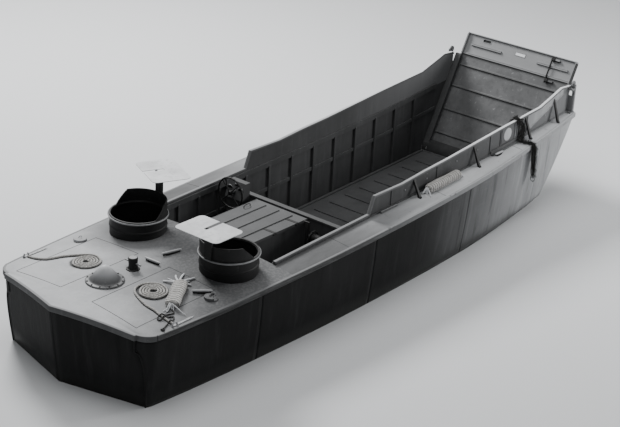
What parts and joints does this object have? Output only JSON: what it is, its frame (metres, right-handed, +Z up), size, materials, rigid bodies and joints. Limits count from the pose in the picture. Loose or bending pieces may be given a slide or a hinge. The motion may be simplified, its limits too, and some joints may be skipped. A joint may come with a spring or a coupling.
{
  "type": "military landing craft",
  "caption": "Plywood landing craft with a lowering bow ramp, open troop well, engine box, gun tubs with turning shields, rudder and propeller.",
  "frame": {"origin": "on the waterline, on the centreline, amidships", "axes": "+X towards the bow, +Y to port, +Z up"},
  "size_m": [11.061, 3.293, 3.1918],
  "materials": {
    "hull_paint": "weathered matt grey paint on plywood",
    "deck_paint": "worn matt light grey paint on plywood",
    "inside_paint": "matt grey paint on plywood",
    "steel_paint": "matt grey paint on steel",
    "shield_paint": "matt light grey paint on steel plate",
    "dark_steel": "dark paint, worn",
    "bronze": "dull cast bronze",
    "rope": "laid manila",
    "dark_rope": "tarred rope"
  },
  "bodies": {
    "hull": {"hull_stern": "hull_paint", "hull_tub_bay": "hull_paint", "hull_bottom": "hull_paint", "hull_side_port": "hull_paint", "hull_side_starboard": "hull_paint", "aft_deck": "deck_paint", "side_deck_port": "deck_paint", "side_deck_starboard": "deck_paint", "rub_rail_transom": "hull_paint", "rub_rail_port": "hull_paint", "rub_rail_starboard": "hull_paint", "coaming_port": "hull_paint", "coaming_starboard": "hull_paint", "bow_post_port": "steel_paint", "bow_post_starboard": "steel_paint", "headlog": "steel_paint", "well_floor": "inside_paint", "well_bulkhead": "inside_paint", "engine": "dark_steel", "engine_box": "inside_paint", "steering_console": "inside_paint", "winch_stand": "steel_paint", "gun_tub_port": "dark_steel", "gun_tub_starboard": "dark_steel", "keel_and_skeg": "hull_paint", "vent_dome": "deck_paint", "mooring_bitt": "dark_steel", "cleat_aft_centre": "dark_steel", "cleat_fore_centre": "dark_steel", "cleat_quarter_starboard": "dark_steel", "cleat_bow_starboard": "dark_steel", "cleat_bow_port": "dark_steel", "chock_port": "dark_steel", "chock_starboard": "dark_steel", "hoisting_pad_port": "deck_paint", "hoisting_pad_starboard": "deck_paint", "line_coil_port": "rope", "line_lead_port": "rope", "line_coil_starboard": "rope", "line_lead_starboard": "rope", "rope_fender_aft": "rope", "rope_fender_side": "rope", "chafing_rope": "dark_rope", "chafing_rope_eye": "dark_steel"},
    "ramp": {"bow_ramp": "steel_paint"},
    "rudder": {"rudder": "steel_paint"},
    "propeller": {"propeller": "bronze"},
    "steering_wheel": {"steering_wheel": "dark_steel"},
    "mount_port": {"gun_carriage_port": "dark_steel"},
    "mount_starboard": {"gun_carriage_starboard": "dark_steel"},
    "shield_port": {"gun_shield_port": "shield_paint"},
    "shield_starboard": {"gun_shield_starboard": "shield_paint"},
    "engine_lid": {"engine_box_lid": "deck_paint"},
    "winch_drum": {"winch_drum": "dark_steel"}
  },
  "joints": [
    {"name": "ramp_hinge", "type": "hinge", "parent": "hull", "child": "ramp", "pos_m": [4.52, 0, 0.33], "axis": [0, 1, 0], "range_deg": [0, 78]},
    {"name": "rudder_turn", "type": "hinge", "parent": "hull", "child": "rudder", "pos_m": [-4.86, 0, -0.5], "axis": [0, 0, 1], "range_deg": [-35, 35]},
    {"name": "steering_turn", "type": "hinge", "parent": "hull", "child": "steering_wheel", "pos_m": [-1.08, 0.85, 1.19], "axis": [1, 0, 0], "range_deg": [-540, 540]},
    {"name": "propeller_spin", "type": "hinge", "parent": "hull", "child": "propeller", "pos_m": [-4.33, 0, -0.53], "axis": [0.9903, 0, 0.1392], "continuous": true},
    {"name": "mount_turn_port", "type": "hinge", "parent": "hull", "child": "mount_port", "pos_m": [-3, 0.88, 1.45], "axis": [0, 0, 1], "continuous": true},
    {"name": "mount_turn_starboard", "type": "hinge", "parent": "hull", "child": "mount_starboard", "pos_m": [-3, -0.88, 1.45], "axis": [0, 0, 1], "continuous": true},
    {"name": "shield_tilt_port", "type": "hinge", "parent": "mount_port", "child": "shield_port", "pos_m": [-2.585, 0.88, 1.885], "axis": [0, 1, 0], "range_deg": [0, 90]},
    {"name": "shield_tilt_starboard", "type": "hinge", "parent": "mount_starboard", "child": "shield_starboard", "pos_m": [-3.415, -0.88, 1.885], "axis": [0, -1, 0], "range_deg": [0, 90]},
    {"name": "lid_hinge", "type": "hinge", "parent": "hull", "child": "engine_lid", "pos_m": [-1.6, -0.5, 1.1003], "axis": [1, 0, 0], "range_deg": [0, 85]},
    {"name": "winch_turn", "type": "hinge", "parent": "hull", "child": "winch_drum", "pos_m": [-1.075, -0.9, 0.98], "axis": [0, 1, 0], "continuous": true}
  ],
  "couplings": [
    {"joint": "steering_turn", "follows": "rudder_turn", "ratio": 15.4}
  ]
}
